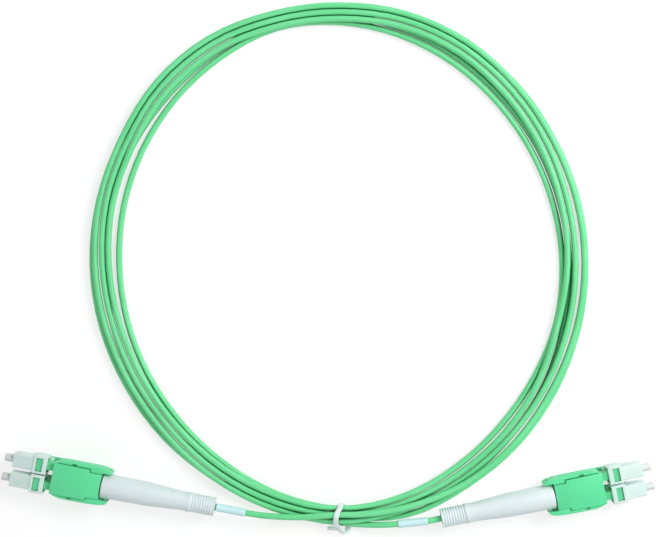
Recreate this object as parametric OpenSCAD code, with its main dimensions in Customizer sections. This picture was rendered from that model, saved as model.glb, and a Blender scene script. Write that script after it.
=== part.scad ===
// Duplex LC uniboot fibre optic patch cord, coiled and tied.
// Each plug is built in its own frame: +X points out of the ferrules, +Y runs
// across the two ports, +Z is up, and X = 0 is the rear face of the housing.
// The ferrule axes lie at Z = 0. plug_frame() then lays the plug on the table.

/* [Cable] */
// Outside diameter of the round duplex cable
cable_d = 2; // [1.6:0.1:2.2]
// Diameter of each buffered fibre inside the plug
fibre_d = 0.9; // [0.6:0.05:0.95]
// Sideways distance from the cable axis to each fibre where the jacket ends
fibre_split = 0.48; // [0.48:0.01:0.55]

/* [Coil] */
// Number of loops in the coil, an even number
loops = 6; // [4:2:10]
// Mean radius of the coil
coil_r = 77.4; // [60:0.1:100]
// How far the coil bulges towards the tie and away from it
oval = 2.7; // [0:0.1:6]
// Direction of that bulge, from the tie, in degrees
oval_turn = 10; // [0:1:30]
// Height of the three-sided ripple in the coil
ripple_3 = 0.4; // [0:0.1:1]
// Height of the four-sided ripple in the coil
ripple_4 = 0.5; // [0:0.1:1]
// Direction of the four-sided ripple, from the tie, in degrees
ripple_turn = 6; // [0:1:20]
// Distance between neighbouring loops at the tie
loop_pitch = 2.5; // [2.45:0.05:3]
// How much further apart the loops lie at the sides
side_spread = 0.8; // [0:0.1:1.5]
// How much further apart the loops lie opposite the tie
far_spread = 0.35; // [0:0.05:1]
// Height from the lower layer of loops to the upper one
layer_rise = 2.45; // [2.45:0.05:3]

/* [Tie] */
// Width of the tie along the cable
tie_w = 1.7; // [1.2:0.1:3]
// Thickness of the tie
tie_t = 1; // [0.6:0.1:1.4]
// Clearance between the tie and the bundle
tie_gap = 0.2; // [0.1:0.05:0.4]
// Length of the tie's flat loose end
tie_tail = 3.4; // [2:0.1:5]
// Slant of the tie across the bundle, in degrees
tie_turn = 8; // [0:1:10]
// Angle each side of the tie over which the loops rise over it, in degrees
lift_span = 28; // [20:1:40]

/* [Ports] */
// Distance between the two ferrule axes of a duplex plug
port_pitch = 6.25; // [6.2:0.01:6.3]

/* [Ferrule] */
// Outside diameter of the ceramic ferrule
ferrule_d = 1.25; // [1.2:0.01:1.3]
// Length of the ceramic ferrule
ferrule_len = 6.5; // [6:0.1:7]
// How far the ferrule stands out of the front housing
ferrule_out = 1.6; // [1.2:0.1:2]
// Chamfer at the ferrule's tip
ferrule_chamfer = 0.2; // [0.1:0.05:0.3]
// Diameter of the metal flange behind the ferrule
flange_d = 2.6; // [2.3:0.05:2.7]
// Length of the flange
flange_len = 2.6; // [2.3:0.1:2.8]
// Diameter of the spigot that carries the spring
spigot_d = 1.5; // [1.4:0.05:1.6]
// Length of the spigot
spigot_len = 2; // [1.5:0.1:2.5]
// Bore of the flange and spigot, for the fibre
flange_bore = 1.1; // [1.05:0.01:1.15]
// Travel of the ferrule against its spring
ferrule_travel = 0.5; // [0.3:0.05:0.6]

/* [Spring] */
// Outside diameter of the ferrule spring
spring_d = 2.4; // [2.3:0.05:2.5]
// Diameter of the spring wire
spring_wire = 0.3; // [0.2:0.02:0.35]
// Number of turns of the spring
spring_turns = 6; // [5:1:7]
// Diameter of the spring's chamber in the extender
chamber_d = 2.8; // [2.7:0.05:2.85]

/* [Front housing] */
// Width of the nose that enters the adapter
nose_w = 4.5; // [4.3:0.05:4.6]
// Height of the nose
nose_h = 4.5; // [4.3:0.05:4.7]
// Length of the nose
nose_len = 6.5; // [6.4:0.1:7.5]
// Width of the wider rear part of the front housing
shroud_w = 5.8; // [5.7:0.05:6]
// Height of the rear part
shroud_h = 5.2; // [5.1:0.1:5.4]
// Length of the rear part
shroud_len = 4.4; // [4.3:0.1:5]
// Bore in the front face, round the ferrule
nose_bore = 2.9; // [2.8:0.05:3]
// Depth of that bore
nose_bore_depth = 2.7; // [2.5:0.05:2.8]
// Thickness of the wall that stops the flange
stop_wall = 0.7; // [0.5:0.05:1]
// Clearance hole for the ferrule in that wall
stop_hole = 1.5; // [1.4:0.05:1.8]
// Bore of the nose round the flange
nose_chamber = 3.4; // [3.3:0.05:3.5]
// Width of the cavity in the rear part
socket_w = 4.8; // [4.7:0.05:4.9]
// Height of the cavity in the rear part
socket_h = 4.2; // [4:0.05:4.3]
// Length of the snap window along the plug
window_len = 2.1; // [1.8:0.1:2.2]
// Width of the snap window
window_w = 4.3; // [4:0.05:4.4]
// Length of the rim behind the window
window_rim = 1.4; // [1.2:0.05:1.5]
// Chamfer on the housing's edges
edge_cut = 0.25; // [0.1:0.05:0.35]

/* [Latch] */
// Width of the latch arm
latch_w = 3; // [2.6:0.1:3.2]
// Thickness of the latch arm
latch_t = 0.8; // [0.7:0.05:0.9]
// Width across the two locking lugs of the latch
lug_w = 4.4; // [4:0.1:4.6]
// Radius of the arm's rounded root, about which it flexes
root_r = 0.5; // [0.4:0.02:0.55]
// Distance from the plug's front face back to the root
root_back = 1.3; // [1.2:0.1:1.6]
// Length of the arm from its root to its free end
latch_len = 10.2; // [10:0.1:10.4]
// Drop of the arm for each millimetre of its length
latch_slope = 0.125; // [0.11:0.005:0.13]
// Length of the steeper ramp at the free end
ramp_len = 2; // [1.8:0.1:2.2]
// Depth that the ramp adds at the free end
ramp_drop = 0.47; // [0.4:0.01:0.5]
// Clearance round the latch root
root_gap = 0.06; // [0.04:0.01:0.1]

/* [Dust cap] */
// Outside diameter of the dust cap
cap_d = 2.5; // [2.3:0.05:2.6]
// How far the cap stands out of the front housing
cap_out = 3; // [2.8:0.1:4]
// How far the cap reaches into the front housing
cap_in = 2.4; // [1.8:0.1:2.45]
// Radial clearance between the cap's bore and the ferrule
cap_gap = 0.05; // [0.02:0.01:0.08]

/* [Extender] */
// Length of the neck that shows between the housings
neck_len = 2.4; // [2:0.1:3]
// Width of the neck
neck_w = 2.5; // [2.2:0.05:2.6]
// Height of the neck
neck_h = 3.6; // [3.2:0.1:4]
// Height of the flange held in the main housing
anchor_h = 4.2; // [3.9:0.1:4.3]
// Length of that flange
anchor_len = 1.7; // [1.4:0.1:1.8]
// How far the flange reaches inwards past the neck
anchor_in = 0.8; // [0.5:0.05:1]
// Bore for the fibre
fibre_bore = 1.3; // [1.2:0.05:1.5]

/* [Main housing] */
// Length of the main housing
body_len = 15.4; // [15:0.1:17]
// Width of the main housing at its front
body_front_w = 9.9; // [9.85:0.05:10]
// Width of the main housing behind the side step
body_rear_w = 7.9; // [7.8:0.05:8.2]
// Distance from the rear face to the side step
step_x = 3.9; // [3.5:0.1:5]
// Height of the main housing
body_h = 7.4; // [7:0.1:7.6]
// Length of the rear stretch of the upper face that slopes down
slope_len = 5.6; // [5:0.1:8]
// Drop of that slope at the rear face
slope_drop = 0.35; // [0.1:0.05:0.6]
// Height of the slanted lower edges of the housing
bevel_h = 1.9; // [1.6:0.1:2]
// Sideways reach of the slanted lower edges
bevel_w = 0.85; // [0.6:0.05:0.9]
// Thickness of the housing's front wall
front_wall = 1.8; // [1.4:0.1:2]
// Thickness of the housing's rear wall
rear_wall = 1.3; // [1:0.1:1.6]
// Height of the fibre chamber
hall_h = 4.4; // [4:0.1:4.6]
// Width of the fibre chamber at the rear
hall_w = 6.4; // [6:0.1:6.8]
// Width of the fibre chamber at the front
hall_front_w = 7.4; // [7.3:0.05:7.6]
// Diameter of the two locating pegs of the upper shell
peg_d = 0.8; // [0.6:0.05:0.9]
// Height of the locating pegs
peg_h = 1.2; // [0.8:0.1:1.5]

/* [Crimp] */
// Diameter of the crimp body's flange
crimp_flange_d = 5.4; // [5:0.1:5.6]
// Thickness of that flange
crimp_flange_t = 1.4; // [1:0.1:1.6]
// Diameter of the crimp body's barrel
barrel_d = 3.8; // [3.6:0.05:4]
// Length of the barrel behind the housing
barrel_len = 7; // [6:0.1:8]
// Wall of the crimp ring
crimp_wall = 0.5; // [0.3:0.05:0.6]
// Length of the crimp ring
crimp_len = 5.2; // [4.5:0.1:5.6]

/* [Boot] */
// Length of the boot
boot_len = 36.5; // [30:0.1:45]
// Gap between the housing and the boot
boot_gap = 0.4; // [0.3:0.05:0.6]
// Diameter of the boot at the housing
boot_front_d = 8; // [7.4:0.1:8.2]
// Diameter of the boot at its waist, in front of the ribs
boot_waist_d = 6; // [5.6:0.1:6.6]
// Diameter of the boot part of the way along, where it begins to narrow
boot_middle_d = 7.5; // [7:0.1:7.8]
// Distance from the boot's tail to that place
boot_middle = 21; // [18:0.5:26]
// Diameter of the boot over its ribs
rib_d = 6.2; // [5.8:0.1:6.8]
// Number of ribs at the boot's tail
rib_count = 9; // [6:1:12]
// Distance from rib to rib
rib_pitch = 0.85; // [0.7:0.05:1]
// Width of each rib
rib_w = 0.45; // [0.3:0.05:0.55]
// Depth of the grooves between the ribs
rib_depth = 0.3; // [0.2:0.05:0.5]
// Diameter of the boot's chamber over the crimp ring
boot_chamber_d = 5.3; // [5.1:0.05:5.6]
// Depth of that chamber
boot_chamber_len = 7.6; // [7.2:0.1:10]
// Bore of the boot over the cable
boot_bore = 2.4; // [2.3:0.05:2.8]
// Wider bore at the boot's tail, which the label can enter
tail_bore = 3.2; // [3.1:0.05:3.6]
// Depth of the wider bore
tail_bore_depth = 2.6; // [2.4:0.1:4]

/* [Trigger clip] */
// Width across the clip's side walls
clip_w = 12.4; // [12.2:0.1:13]
// Width of the flat pad that the clip rests on
pad_w = 9.6; // [9:0.1:10]
// Thickness of the pad under the housing
pad_t = 1.9; // [1.6:0.1:2.2]
// Clearance between the clip and the housing
clip_gap = 0.15; // [0.1:0.01:0.2]
// Height of the side walls above the ferrule axes
wall_top = 3.1; // [2.8:0.1:3.3]
// Distance that the clip's tails reach behind the housing
tail_len = 3; // [2.8:0.1:3.6]
// Width across the tails at their ends
tail_w = 9.6; // [9.5:0.1:10]
// Distance between the inner faces of the tails
tail_inner_w = 8.8; // [8.6:0.1:8.9]
// Distance from the housing's rear face to where the tails begin to curve in
tail_root_x = 7; // [6:0.5:8]
// Distance from the housing's rear face to the notch in each side wall
notch_x = 8.4; // [8:0.1:9.5]
// Width of the gap in the middle of the front lip
lip_slot = 2.6; // [2:0.1:2.8]
// Thickness of the pad's front lip, under the latches
lip_t = 0.5; // [0.4:0.05:0.6]
// Length of the front lip in front of the housing
lip_len = 5.9; // [5.8:0.05:6]
// Width of each rib that presses a latch
press_w = 2.8; // [2.4:0.1:3]
// Length of each pressing rib
press_len = 0.7; // [0.5:0.05:0.8]
// Gap between a pressing rib and the latch above it
press_gap = 0.2; // [0.15:0.01:0.25]
// Travel of the clip and boot when the boot is pulled
pull_travel = 2; // [1.5:0.1:2]
// Number of finger grooves in the pad
groove_count = 5; // [3:1:6]
// Distance from groove to groove
groove_pitch = 1.6; // [1.4:0.1:2]
// Radius of the boot's side lugs, which the tails hold
lug_r = 0.7; // [0.5:0.05:0.8]

/* [Label] */
// Outside diameter of the label sleeve
label_d = 2.6; // [2.5:0.05:2.9]
// Length of the label sleeve
label_len = 9.5; // [8:0.1:12]
// Gap between the left boot and its label
label_gap_left = 0.4; // [0.3:0.1:2]
// Gap between the right boot and its label
label_gap_right = 4.5; // [3:0.1:5]
// Radial clearance between the label and the cable
label_clear = 0.05; // [0.02:0.01:0.1]

/* [Placement] */
// Where the cable leaves the left boot, across
left_exit_x = -36.1; // [-38:0.1:-35]
// Where the cable leaves the left boot, up the table
left_exit_y = -5.5; // [-6.5:0.1:-4.5]
// Direction of the left plug's nose, in degrees
left_turn = 169; // [167:1:171]
// Where the cable leaves the right boot, across
right_exit_x = 36.2; // [35:0.1:38]
// Where the cable leaves the right boot, up the table
right_exit_y = -9.2; // [-10.5:0.1:-8.5]
// Direction of the right plug's nose, in degrees
right_turn = 11.5; // [10:0.5:13]
// Middle of the coil, across
coil_x = 3.6; // [2:0.1:5]
// Middle of the coil, up the table
coil_y = 72; // [71.5:0.1:73.5]

/* [Hidden] */
$fn = 48;
eps = 0.01;

// Small fits inside the plug.
snap_gap = 0.1;
seat_gap = 0.05;

// Stations along a plug, from the rear face of its housing.
neck_x = body_len;
shroud_x = neck_x + neck_len;
nose_x = shroud_x + shroud_len;
front_x = nose_x + nose_len;
window_x = shroud_x + window_rim;
stop_x = front_x - nose_bore_depth - stop_wall;
ferrule_tip_x = front_x + ferrule_out;
ferrule_rear_x = ferrule_tip_x - ferrule_len;
flange_front_x = stop_x - seat_gap;
flange_rear_x = flange_front_x - flange_len;
spigot_rear_x = flange_rear_x - spigot_len;
cap_tip_x = front_x + cap_out;
cap_rear_x = front_x - cap_in;
block_x0 = shroud_x + 0.4;
block_x1 = window_x + window_len + 0.3;
spring_seat_x = block_x0 + 0.4;
anchor_front_x = body_len - front_wall - snap_gap;
anchor_rear_x = anchor_front_x - anchor_len;
hall_front_x = anchor_rear_x - snap_gap;
hall_rear_x = rear_wall + crimp_flange_t + 2 * snap_gap;
boot_tail_x = -boot_gap - boot_len;
boot_front_x = -boot_gap;
jacket_end_x = -1;

// Widths and heights of the shells, the clip and the latch.
half_h = body_h / 2;
wall_in_front = body_front_w / 2 + clip_gap;
wall_in_rear = body_rear_w / 2 + clip_gap;
pad_top = -half_h - clip_gap;
pad_bottom = pad_top - pad_t;
axis_h = -pad_bottom;
lip_top = pad_bottom + lip_t;
lip_front_x = body_len + lip_len;
root_x = front_x - root_back;
root_z = -nose_h / 2 - seat_gap - root_r;
latch_end_x = root_x - latch_len;
ramp_x = latch_end_x + ramp_len;
latch_low_root = root_z - root_r;
latch_low_ramp = latch_low_root - latch_slope * (root_x - ramp_x);
latch_low_end = latch_low_ramp - latch_slope * ramp_len - ramp_drop;
latch_high_end = latch_low_ramp - latch_slope * ramp_len + latch_t;
press_x0 = ramp_x + 0.2;
press_top = latch_low_ramp + latch_slope * 0.2 - press_gap;
lug_x = -2;
lug_tip_y = tail_inner_w / 2 + 0.6;

// Colours.
cable_green = [0.36, 0.83, 0.52];
housing_green = [0.32, 0.84, 0.57];
plug_white = [0.86, 0.92, 0.9];
boot_white = [0.9, 0.93, 0.95];
label_blue = [0.83, 0.93, 0.97];
tie_white = [0.95, 0.97, 0.97];
ceramic_white = [0.96, 0.96, 0.93];
steel_grey = [0.72, 0.73, 0.75];
fibre_white = [0.95, 0.93, 0.85];

// A round bar along X.
module bar(d, x0, x1) translate([x0, 0, 0]) rotate([0, 90, 0]) cylinder(d = d, h = x1 - x0);

// A block along X, centred across Y.
module block(x0, x1, w, z0, z1) translate([x0, -w / 2, z0]) cube([x1 - x0, w, z1 - z0]);

// A block along X with its four long edges cut off.
module cut_block(x0, x1, w, h, cut)
    translate([x0, 0, 0])
        rotate([90, 0, 90])
            linear_extrude(x1 - x0)
                polygon([
                    [-w / 2 + cut, -h / 2], [w / 2 - cut, -h / 2], [w / 2, -h / 2 + cut],
                    [w / 2, h / 2 - cut], [w / 2 - cut, h / 2], [-w / 2 + cut, h / 2],
                    [-w / 2, h / 2 - cut], [-w / 2, -h / 2 + cut]
                ]);

// A profile drawn in X and Z, as thick as w across Y.
module side_profile(points, w) translate([0, w / 2, 0]) rotate([90, 0, 0]) linear_extrude(w) polygon(points);

// ---- tubes swept along points ----

function unit(v) = v / norm(v);
function tangent(p, i) = unit(p[min(i + 1, len(p) - 1)] - p[max(i - 1, 0)]);
function across(t) = unit(cross(t, [0, 0, 1]));
function ring(p, i, r, sides) =
    let (t = tangent(p, i), a = across(t), u = cross(a, t))
    [for (k = [0:sides - 1]) p[i] + r * (cos(90 + 360 * k / sides) * a + sin(90 + 360 * k / sides) * u)];

// One closed tube of triangles through the points p.
module tube(p, r, sides) {
    n = len(p);
    rings = [for (i = [0:n - 1]) each ring(p, i, r, sides)];
    sides_a = [
        for (i = [0:n - 2], k = [0:sides - 1])
        [i * sides + k, i * sides + (k + 1) % sides, (i + 1) * sides + k]
    ];
    sides_b = [
        for (i = [0:n - 2], k = [0:sides - 1])
        [i * sides + (k + 1) % sides, (i + 1) * sides + (k + 1) % sides, (i + 1) * sides + k]
    ];
    cap_a = [for (k = [1:sides - 2]) [0, k + 1, k]];
    cap_b = [for (k = [1:sides - 2]) [(n - 1) * sides, (n - 1) * sides + k, (n - 1) * sides + k + 1]];
    polyhedron(points = rings, faces = concat(sides_a, sides_b, cap_a, cap_b));
}

// A smooth run through hand-set points: n steps in each stretch between p[1] and p[len - 2].
function blend(a, b, c, d, t) =
    0.5 * (2 * b + (c - a) * t + (2 * a - 5 * b + 4 * c - d) * t * t + (3 * b - a - 3 * c + d) * t * t * t);
function smooth_run(p, n) = [
    for (i = [1:len(p) - 3], k = [0:n - 1]) blend(p[i - 1], p[i], p[i + 1], p[i + 2], k / n),
    p[len(p) - 2]
];

// ---- the coil's route ----

rings_per_loop = 24;
tie_lift = tie_t + tie_gap;

function coil_ring(a) =
    coil_r + oval * cos(2 * (a - oval_turn)) + ripple_3 * cos(3 * a) + ripple_4 * cos(4 * (a - ripple_turn));
function pitch_at(a) = loop_pitch + side_spread * sin(a) * sin(a) + far_spread * (1 - cos(a)) / 2;
// Loops spiral in to half way, then out again on the upper layer.
function depth_at(t) = loops / 2 - abs(t - loops / 2);
function climb_at(t) =
    let (u = 2 * (t - loops / 2) + 0.5)
    u <= 0 ? 0 : u >= 1 ? 1 : (1 - cos(180 * u)) / 2;
function lift_at(a) =
    let (b = abs(a - 360 * round(a / 360)))
    b >= lift_span ? 0 : tie_lift * (1 + cos(180 * b / lift_span)) / 2;
function coil_point(t) =
    let (a = 360 * t, r = coil_ring(a) + pitch_at(a) * (loops / 4 - depth_at(t)))
    [coil_x + r * sin(a), coil_y - r * cos(a), cable_d / 2 + layer_rise * climb_at(t) + lift_at(a)];

coil_loops = [for (i = [0:loops * rings_per_loop]) coil_point(i / rings_per_loop)];
coil_start = coil_loops[0] - [cable_d, 0, 0];
coil_end = coil_loops[len(coil_loops) - 1] + [cable_d, 0, 0];
coil_route = concat([coil_start], coil_loops, [coil_end]);

// Least gap of the coil to itself, measured on points half a loop or more apart.
coil_gap = min([
    for (i = [0:len(coil_route) - 1], j = [i + rings_per_loop / 2:1:len(coil_route) - 1])
    norm(coil_route[i] - coil_route[j])
]) - cable_d;
function run_length(p) = len(p) < 2 ? 0 :
    [for (i = 1, s = 0; i <= len(p); s = s + norm(p[min(i, len(p) - 1)] - p[i - 1]), i = i + 1) s][len(p) - 1];
echo(coil_gap = coil_gap, coil_length = run_length(coil_route));

// ---- the free leads' routes ----

left_exit = [left_exit_x, left_exit_y, axis_h];
right_exit = [right_exit_x, right_exit_y, axis_h];
function back_from(exit, turn, d) = exit - d * [cos(turn), sin(turn), 0];
left_straight = label_gap_left + label_len + 1;
right_straight = label_gap_right + label_len + 1;

left_bends = [[-18, -10.8, 4.2], [-11, -12.4, 2.9], [-4, -12.7, 2.2]];
right_bends = [[14, -13, 5.2]];

left_lead_route = concat(
    [left_exit],
    smooth_run(concat(
        [left_exit, back_from(left_exit, left_turn, left_straight)],
        left_bends,
        [coil_start, coil_start + [cable_d, 0, 0]]
    ), 3)
);
right_lead_route = concat(
    [right_exit],
    smooth_run(concat(
        [right_exit, back_from(right_exit, right_turn, right_straight)],
        right_bends,
        [coil_end, coil_end - [cable_d, 0, 0]]
    ), 3)
);

// ---- pieces of one plug ----

module dust_cap() {
    depth = ferrule_tip_x + 0.3 - cap_rear_x;
    length = cap_tip_x - cap_rear_x;
    color(plug_white)
        translate([cap_rear_x, 0, 0])
            rotate([0, 90, 0])
                rotate_extrude()
                    polygon([
                        [0, length], [cap_d / 2 - 0.2, length], [cap_d / 2, length - 0.2], [cap_d / 2, 0],
                        [ferrule_d / 2 + cap_gap, 0], [ferrule_d / 2 + cap_gap, depth], [0, depth]
                    ]);
}

module ferrule() {
    color(ceramic_white)
        translate([ferrule_rear_x, 0, 0])
            rotate([0, 90, 0])
                rotate_extrude()
                    polygon([
                        [0, 0], [ferrule_d / 2, 0], [ferrule_d / 2, ferrule_len - ferrule_chamfer],
                        [ferrule_d / 2 - ferrule_chamfer, ferrule_len], [0, ferrule_len]
                    ]);
}

module ferrule_flange() {
    color(steel_grey)
        difference() {
            union() {
                bar(flange_d, flange_rear_x, flange_front_x);
                bar(spigot_d, spigot_rear_x, flange_rear_x + eps);
            }
            bar(ferrule_d, ferrule_rear_x, flange_front_x + eps);
            bar(flange_bore, spigot_rear_x - eps, ferrule_rear_x + eps);
            for (side = [-1, 1])
                translate([flange_front_x - 1.2, side * flange_d / 2 - 0.15, -flange_d])
                    cube([1.3, 0.3, 2 * flange_d]);
        }
}

module ferrule_spring() {
    r = (spring_d - spring_wire) / 2;
    x0 = spring_seat_x + spring_wire;
    x1 = flange_rear_x - spring_wire;
    steps = spring_turns * 8;
    helix = [for (i = [0:steps]) [r * cos(45 * i), r * sin(45 * i), (x1 - x0) * i / steps]];
    rings = [
        for (i = [0:steps], k = [0:5])
        let (out = [cos(45 * i), sin(45 * i), 0])
        helix[i] + spring_wire / 2 * (cos(60 * k) * out + sin(60 * k) * [0, 0, 1])
    ];
    faces = [
        for (i = [0:steps - 1], k = [0:5], half = [0, 1])
        half == 0
            ? [i * 6 + (k + 1) % 6, i * 6 + k, i * 6 + 6 + k]
            : [i * 6 + 6 + (k + 1) % 6, i * 6 + (k + 1) % 6, i * 6 + 6 + k]
    ];
    ends = [
        for (k = [1:4]) [0, k, k + 1],
        for (k = [1:4]) [steps * 6, steps * 6 + k + 1, steps * 6 + k]
    ];
    color(steel_grey)
        translate([x0, 0, 0])
            rotate([0, 90, 0])
                polyhedron(points = rings, faces = concat(faces, ends));
}

module front_housing() {
    color(plug_white)
        difference() {
            union() {
                cut_block(shroud_x, nose_x, shroud_w, shroud_h, edge_cut);
                cut_block(nose_x - eps, front_x, nose_w, nose_h, edge_cut);
                block(root_x, root_x + 1, latch_w, root_z - 0.35, -nose_h / 2 + 0.3);
            }
            translate([root_x, 0, root_z])
                rotate([90, 0, 0])
                    cylinder(r = root_r + root_gap, h = latch_w + 2, center = true);
            bar(nose_bore, front_x - nose_bore_depth, front_x + 1);
            bar(stop_hole, stop_x - eps, front_x);
            bar(nose_chamber, nose_x - eps, stop_x);
            block(shroud_x - 1, nose_x, socket_w, -socket_h / 2, socket_h / 2);
            block(window_x, window_x + window_len, window_w, 0, shroud_h);
        }
}

// The arm is drawn along its length in X and Z, with lugs that lock in the adapter.
module latch_arm() {
    arm = [
        [root_x, latch_low_root], [ramp_x, latch_low_ramp], [latch_end_x, latch_low_end],
        [latch_end_x, latch_high_end], [root_x, root_z + root_r - 0.2]
    ];
    lug_x0 = root_x - 4.7;
    lug_low = latch_low_root - latch_slope * 4.1;
    color(plug_white) {
        side_profile(arm, latch_w);
        translate([root_x, 0, root_z])
            rotate([90, 0, 0])
                cylinder(r = root_r, h = latch_w, center = true);
        side_profile([
            [lug_x0, lug_low - 0.1], [lug_x0 + 1.2, lug_low], [lug_x0 + 1.2, lug_low + 0.7],
            [lug_x0, lug_low + 0.7]
        ], lug_w);
    }
}

// side is +1 or -1, the port that the extender sits in: its flange reaches inwards.
module extender(side) {
    flange_w = neck_w + anchor_in;
    color(housing_green)
        difference() {
            union() {
                block(anchor_front_x - eps, block_x0 + eps, neck_w, -neck_h / 2, neck_h / 2);
                translate([anchor_rear_x, -flange_w / 2 - side * anchor_in / 2, -anchor_h / 2])
                    cube([anchor_len, flange_w, anchor_h]);
                cut_block(block_x0, block_x1, socket_w - 2 * snap_gap, socket_h - 2 * snap_gap, edge_cut);
                block(
                    window_x + snap_gap, window_x + window_len - snap_gap, window_w - 2 * snap_gap,
                    0, shroud_h / 2 - 0.2
                );
            }
            bar(chamber_d, spring_seat_x, block_x1 + 1);
            bar(fibre_bore, anchor_rear_x - 1, spring_seat_x + eps);
        }
}

// A fibre leaves the jacket beside its twin and spreads to its port.
module fibre(side) {
    y0 = side * fibre_split;
    y1 = side * port_pitch / 2;
    x0 = jacket_end_x + seat_gap;
    x1 = hall_rear_x;
    x2 = anchor_rear_x - 0.4;
    x3 = ferrule_rear_x - ferrule_travel - 0.4;
    route = concat(
        [[x0, y0, 0]],
        [for (i = [0:10]) [x1 + (x2 - x1) * i / 10, y0 + (y1 - y0) * (1 - cos(18 * i)) / 2, 0]],
        [[x3, y1, 0]]
    );
    color(fibre_white) tube(route, fibre_d / 2, 8);
}

// Outline of the main housing, seen from above.
module body_outline() {
    front = body_front_w / 2;
    rear = body_rear_w / 2;
    polygon([
        [0, -rear], [step_x, -rear], [step_x, -front + 0.1], [body_len, -front],
        [body_len, front], [step_x, front - 0.1], [step_x, rear], [0, rear]
    ]);
}

// Hollows of the main housing, shared by both shells.
module body_hollows() {
    block(rear_wall, rear_wall + crimp_flange_t + 2 * snap_gap, hall_w - 0.6, -hall_h / 2, hall_h / 2);
    bar(crimp_flange_d + 2 * snap_gap, rear_wall, rear_wall + crimp_flange_t + 2 * snap_gap);
    bar(barrel_d + 2 * snap_gap, -1, rear_wall + eps);
    block(hall_rear_x - eps, hall_front_x + eps, hall_w, -hall_h / 2, hall_h / 2);
    block(step_x + 1, hall_front_x + eps, hall_front_w, -hall_h / 2, hall_h / 2);
    for (side = [-1, 1])
        translate([0, side * port_pitch / 2, 0]) {
            block(
                anchor_front_x, body_len + 1, neck_w + 2 * snap_gap,
                -neck_h / 2 - snap_gap, neck_h / 2 + snap_gap
            );
            translate([0, -side * anchor_in / 2, 0])
                block(
                    hall_front_x, anchor_front_x + snap_gap, neck_w + anchor_in + 2 * snap_gap,
                    -anchor_h / 2 - snap_gap, anchor_h / 2 + snap_gap
                );
        }
}

module body_pegs(d, h) {
    for (side = [-1, 1])
        translate([(step_x + body_len) / 2, side * (hall_front_w + body_front_w) / 4, -h])
            cylinder(d = d, h = h + eps);
}

module housing_top() {
    color(housing_green) {
        difference() {
            intersection() {
                linear_extrude(half_h) body_outline();
                side_profile([
                    [-1, -1], [body_len + 1, -1], [body_len + 1, half_h], [slope_len, half_h],
                    [-1, half_h - slope_drop]
                ], body_front_w + 2);
            }
            body_hollows();
        }
        body_pegs(peg_d, peg_h);
    }
}

// Section of the housing's lower half across Y, grown by a clearance.
module lower_section(gap, top)
    let (half = body_front_w / 2 + gap, low = -half_h - gap)
    polygon([
        [-half, top], [-half, -half_h + bevel_h], [-half + bevel_w, low],
        [half - bevel_w, low], [half, -half_h + bevel_h], [half, top]
    ]);

module housing_base() {
    color(housing_green)
        difference() {
            intersection() {
                translate([0, 0, -half_h]) linear_extrude(half_h) body_outline();
                translate([-1, 0, 0]) rotate([90, 0, 90]) linear_extrude(body_len + 2) lower_section(0, 1);
            }
            body_hollows();
            body_pegs(peg_d + 2 * seat_gap, peg_h + snap_gap);
        }
}

// Outline of the trigger clip, seen from above.
module clip_outline() {
    wide = clip_w / 2;
    half = [
        [lip_front_x, 0], [lip_front_x, pad_w / 2], [body_len - 0.2, pad_w / 2],
        [body_len - 1, wall_in_front + 0.3], [body_len - 3.6, wide],
        for (i = [0:6])
        let (a = 15 * i)
        [tail_root_x - (tail_root_x + tail_len) * sin(a), tail_w / 2 + (wide - tail_w / 2) * cos(a)],
        [-tail_len, 0]
    ];
    polygon(concat(half, [for (i = [len(half) - 2:-1:1]) [half[i][0], -half[i][1]]]));
}

module trigger_clip() {
    wide = clip_w / 2;
    color(housing_green)
        difference() {
            intersection() {
                translate([0, 0, pad_bottom]) linear_extrude(wall_top - pad_bottom) clip_outline();
                translate([-tail_len - 1, 0, 0])
                    rotate([90, 0, 90])
                        linear_extrude(lip_front_x + tail_len + 2)
                            polygon([
                                [-pad_w / 2, pad_bottom], [pad_w / 2, pad_bottom],
                                [wide - bevel_w - 0.15, pad_top - 0.4], [wide, -0.6],
                                [wide, wall_top - 0.5], [wide - 0.4, wall_top],
                                [-wide + 0.4, wall_top], [-wide, wall_top - 0.5],
                                [-wide, -0.6], [-wide + bevel_w + 0.15, pad_top - 0.4]
                            ]);
            }
            // Room for the housing, wide in front of the step and narrow behind it.
            translate([step_x - clip_gap, 0, 0])
                rotate([90, 0, 90])
                    linear_extrude(2 * lip_front_x)
                        lower_section(clip_gap, wall_top + 1);
            block(-tail_len - 1, step_x, 2 * wall_in_rear, pad_top, wall_top + 1);
            block(-tail_len - 1, 0, tail_inner_w, pad_top, wall_top + 1);
            // Room for the latches above the front lip.
            block(body_len - 0.2, lip_front_x + 1, clip_w + 2, lip_top, wall_top + 1);
            block(body_len - 0.2, lip_front_x + 1, lip_slot, pad_bottom - 1, wall_top + 1);
            // The pad ends where the boot begins.
            block(-tail_len - 1, 1, clip_w + 2, pad_bottom - 1, -1.8);
            // Holes for the boot's lugs.
            translate([lug_x, 0, 0])
                rotate([90, 0, 0])
                    cylinder(r = lug_r + seat_gap, h = clip_w + 2, center = true);
            // Notch in the top of each side wall.
            for (side = [-1, 1])
                translate([notch_x, side * (wall_in_front + 0.2) - 0.4, wall_top - 0.6]) cube([1.4, 0.8, 1]);
            // Finger grooves in the pad.
            for (i = [0:groove_count - 1])
                translate([4 + i * groove_pitch, 0, 0])
                    block(0, 0.6, pad_w - 3, pad_bottom - 1, pad_bottom + 0.35);
        }
    color(housing_green)
        for (side = [-1, 1])
            translate([0, side * port_pitch / 2, 0])
                block(press_x0, press_x0 + press_len, press_w, lip_top - eps, press_top);
}

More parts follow.
